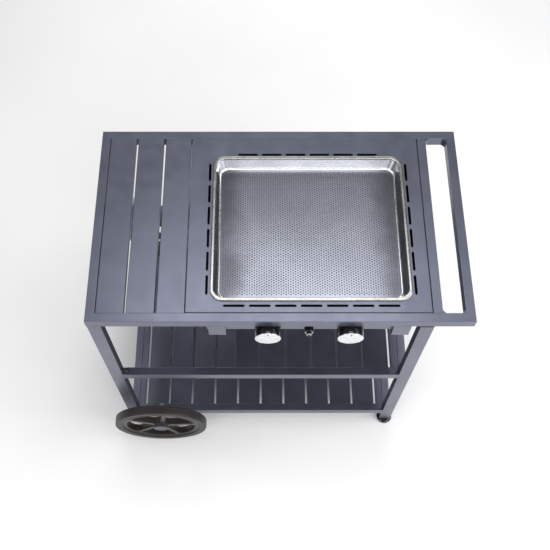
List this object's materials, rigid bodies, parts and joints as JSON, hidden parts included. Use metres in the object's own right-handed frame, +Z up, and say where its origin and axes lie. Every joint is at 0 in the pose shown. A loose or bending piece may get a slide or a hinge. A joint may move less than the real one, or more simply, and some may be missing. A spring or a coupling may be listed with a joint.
{
  "type": "flat top griddle trolley",
  "caption": "Wheeled outdoor kitchen trolley with a drop-in gas griddle, slatted top and shelves, gas-bottle bay, push handle and two wheels.",
  "frame": {"origin": "bottom centre of the whole object, on the floor under the middle of its box", "axes": "+Z up; +X from the slatted wheel end to the push handle; -Y is the front with the knobs"},
  "size_m": [1.0506, 0.752, 0.9055],
  "materials": {
    "frame_paint": "satin anthracite powder coat",
    "pan_steel": "bright stainless steel, embossed floor",
    "box_steel": "plain stainless sheet",
    "ceramic": "glazed ceramic",
    "brass": "turned brass",
    "pipe_steel": "plain steel",
    "knob_black": "glossy black plastic",
    "knob_metal": "brushed bright metal",
    "chrome": "chrome plate",
    "foot_plastic": "black plastic",
    "tyre_rubber": "dark brown-grey solid tyre",
    "rim_plastic": "dark moulded plastic",
    "cap_plastic": "blue-grey moulded plastic",
    "zinc_steel": "zinc-plated steel"
  },
  "bodies": {
    "frame": {"top_front_rail": "frame_paint", "top_back_rail": "frame_paint", "top_left_rail": "frame_paint", "top_right_rail": "frame_paint", "handle_bar": "frame_paint", "handle_gussets": "frame_paint", "top_slat_1": "frame_paint", "top_slat_2": "frame_paint", "top_slat_3": "frame_paint", "griddle_panel": "frame_paint", "control_panel": "frame_paint", "hanger_brackets": "frame_paint", "leg_front_left": "frame_paint", "leg_back_left": "frame_paint", "leg_front_right": "frame_paint", "leg_back_right": "frame_paint", "leg_plates": "frame_paint", "mid_front_rail": "frame_paint", "mid_back_rail": "frame_paint", "mid_right_rail": "frame_paint", "mid_cross_rail": "frame_paint", "low_front_rail": "frame_paint", "low_back_rail": "frame_paint", "low_left_rail": "frame_paint", "low_right_rail": "frame_paint", "mid_shelf_slats": "frame_paint", "low_shelf_slats": "frame_paint", "axle_brackets": "frame_paint", "burner_box": "box_steel", "burner_left": "box_steel", "burner_right": "box_steel", "igniter_electrodes": "ceramic", "gas_valves": "brass", "gas_inlet": "brass", "gas_manifold": "pipe_steel", "igniter_spring": "pipe_steel", "igniter_body": "knob_black", "leg_hook": "knob_black", "igniter_bezel": "chrome", "glide_feet": "foot_plastic", "front_axle": "zinc_steel", "back_axle": "zinc_steel", "axle_nuts": "zinc_steel", "bracket_screws": "zinc_steel"},
    "wheel_front": {"front_tyre": "tyre_rubber", "front_rim": "rim_plastic", "front_hub_cap": "cap_plastic"},
    "wheel_back": {"back_tyre": "tyre_rubber", "back_rim": "rim_plastic", "back_hub_cap": "cap_plastic"},
    "stem_left": {"valve_stem_left": "pipe_steel"},
    "stem_right": {"valve_stem_right": "pipe_steel"},
    "knob_left": {"knob_left": "knob_black", "knob_cap_left": "knob_metal"},
    "knob_right": {"knob_right": "knob_black", "knob_cap_right": "knob_metal"},
    "igniter_button": {"igniter_button": "knob_black"},
    "griddle": {"griddle_pan": "pan_steel"}
  },
  "joints": [
    {"name": "wheel_front_spin", "type": "hinge", "parent": "frame", "child": "wheel_front", "pos_m": [-0.37275, -0.355, 0.1525], "axis": [0, 1, 0], "continuous": true},
    {"name": "wheel_back_spin", "type": "hinge", "parent": "frame", "child": "wheel_back", "pos_m": [-0.37275, 0.355, 0.1525], "axis": [0, 1, 0], "continuous": true},
    {"name": "knob_left_press", "type": "slide", "parent": "frame", "child": "stem_left", "axis": [0, 1, 0], "range_m": [0, 0.003], "stiffness_N_per_m": 600},
    {"name": "knob_left_turn", "type": "hinge", "parent": "stem_left", "child": "knob_left", "pos_m": [-0.01675, -0.3, 0.83], "axis": [0, -1, 0], "range_deg": [0, 210]},
    {"name": "knob_right_press", "type": "slide", "parent": "frame", "child": "stem_right", "axis": [0, 1, 0], "range_m": [0, 0.003], "stiffness_N_per_m": 600},
    {"name": "knob_right_turn", "type": "hinge", "parent": "stem_right", "child": "knob_right", "pos_m": [0.20325, -0.3, 0.83], "axis": [0, -1, 0], "range_deg": [0, 210]},
    {"name": "igniter_press", "type": "slide", "parent": "frame", "child": "igniter_button", "axis": [0, 1, 0], "range_m": [0, 0.006], "stiffness_N_per_m": 500, "deforming": ["igniter_spring"]},
    {"name": "griddle_lift", "type": "slide", "parent": "frame", "child": "griddle", "axis": [0, 0, 1], "range_m": [0, 0.12]}
  ]
}
